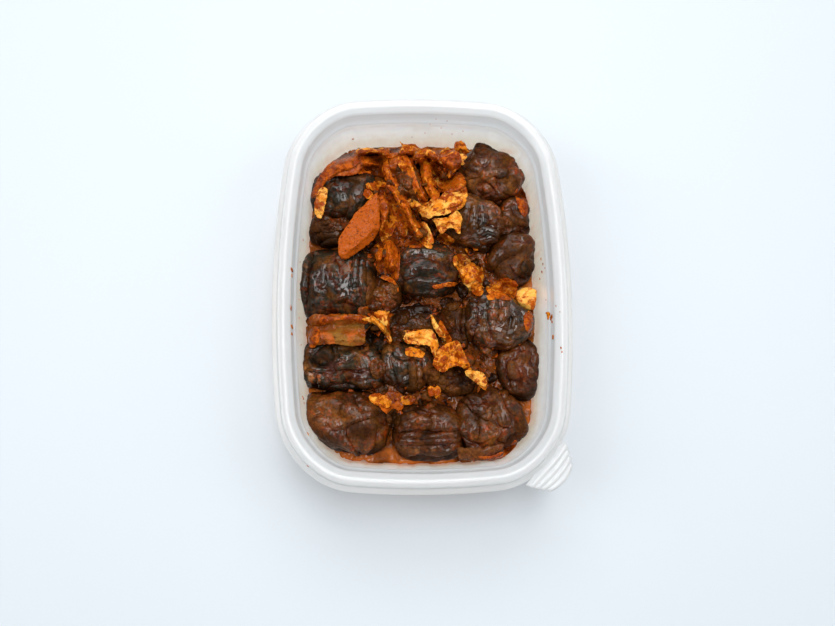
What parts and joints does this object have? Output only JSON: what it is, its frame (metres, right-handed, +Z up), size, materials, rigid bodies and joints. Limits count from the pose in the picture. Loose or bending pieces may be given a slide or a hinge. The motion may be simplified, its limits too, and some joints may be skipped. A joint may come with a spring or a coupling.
{
  "type": "packed meal in plastic tub",
  "caption": "Open translucent rounded oblong tub with a stepped rim and ribbed corner tab, filled with braised sausage pieces, carrot, cabbage and onion in red sauce.",
  "frame": {"origin": "middle of the tub's overall footprint, on the surface that it stands on", "axes": "+Z up out of the tub's open top; +Y along the tub's length, away from the end with the pull tab; +X along its width, so the tab is at the +X, -Y corner"},
  "size_m": [0.1446, 0.1956, 0.05],
  "materials": {
    "tub_plastic": "milky translucent, smooth",
    "red_sauce": "wet, oily sauce with chopped vegetables",
    "dark_casing": "wet, wrinkled sausage skin",
    "stained_cabbage": "soft boiled leaf, stained by the sauce",
    "soft_onion": "soft, wet, slightly clear",
    "stained_carrot": "soft boiled slice",
    "orange_shred": "soft, wet strip"
  },
  "bodies": {
    "root": {"tub": "tub_plastic", "sauce_bed": "red_sauce", "sausage_far_left": "dark_casing", "sausage_far_right": "dark_casing", "sausage_upper_right": "dark_casing", "sausage_right_edge": "dark_casing", "sausage_right": "dark_casing", "sausage_left": "dark_casing", "sausage_middle": "dark_casing", "sausage_glossy": "dark_casing", "casing_fold_glossy": "dark_casing", "sausage_lower_right": "dark_casing", "sausage_lower_left": "dark_casing", "sausage_centre_low": "dark_casing", "sausage_near_left": "dark_casing", "sausage_near_middle": "dark_casing", "sausage_near_right": "dark_casing", "sausage_scrap": "dark_casing", "sausage_sunk": "dark_casing", "sausage_end_far": "dark_casing", "sausage_crumb_far": "dark_casing", "sausage_crumb_left": "dark_casing", "casing_fold_left": "dark_casing", "casing_near": "dark_casing", "cabbage_cube_right": "stained_cabbage", "cabbage_lump_middle": "stained_cabbage", "cabbage_lump_left": "stained_cabbage", "cabbage_far_strip": "stained_cabbage", "cabbage_far_peak": "stained_cabbage", "cabbage_far_lobe": "stained_cabbage", "cabbage_far_bit": "stained_cabbage", "cabbage_far_corner": "stained_cabbage", "cabbage_far_leaf": "stained_cabbage", "cabbage_lower_leaf": "stained_cabbage", "cabbage_white_strip": "stained_cabbage", "cabbage_root": "stained_cabbage", "cabbage_big_leaf": "stained_cabbage", "cabbage_thin_strip": "stained_cabbage", "cabbage_hook": "stained_cabbage", "cabbage_red_leaf": "stained_cabbage", "cabbage_low_leaf": "stained_cabbage", "cabbage_star": "stained_cabbage", "cabbage_wall_left": "stained_cabbage", "onion_square": "soft_onion", "onion_skin": "soft_onion", "onion_strip_far": "soft_onion", "carrot_piece": "stained_carrot", "carrot_slice": "stained_carrot", "shred_far_left": "orange_shred", "shred_far_middle": "orange_shred", "shred_low_left": "orange_shred", "shred_low_right": "orange_shred", "shred_long": "orange_shred", "shred_middle": "orange_shred"}
  },
  "joints": []
}
